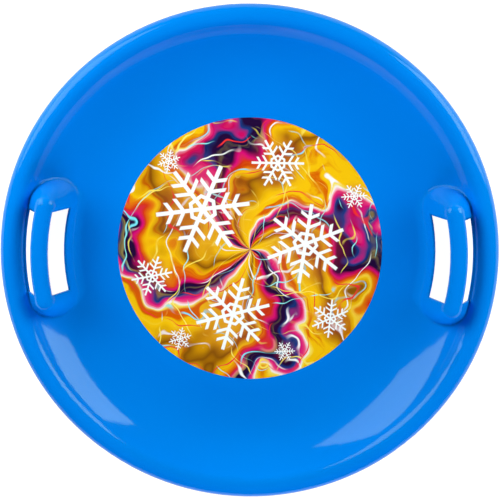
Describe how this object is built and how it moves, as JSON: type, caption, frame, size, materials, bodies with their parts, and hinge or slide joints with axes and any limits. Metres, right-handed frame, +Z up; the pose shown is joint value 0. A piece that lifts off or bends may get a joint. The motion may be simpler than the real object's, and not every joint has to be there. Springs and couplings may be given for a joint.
{
  "type": "saucer sled",
  "caption": "Round moulded plastic saucer sled: a shallow dish with a rolled rim, a hollow grip arch with hand slots on each side and a round printed label on its floor.",
  "frame": {"origin": "centre of the flat underside that the sled rests on", "axes": "+Z up out of the dish, X through the middle of both grips, Y along the grip bars"},
  "size_m": [0.6, 0.6, 0.078],
  "materials": {
    "blue_plastic": "glossy as moulded, coloured through",
    "printed_film": "glossy print in bands of magenta, violet, orange, yellow and white"
  },
  "bodies": {
    "root": {"saucer_shell": "blue_plastic", "centre_label": "printed_film"}
  },
  "joints": []
}
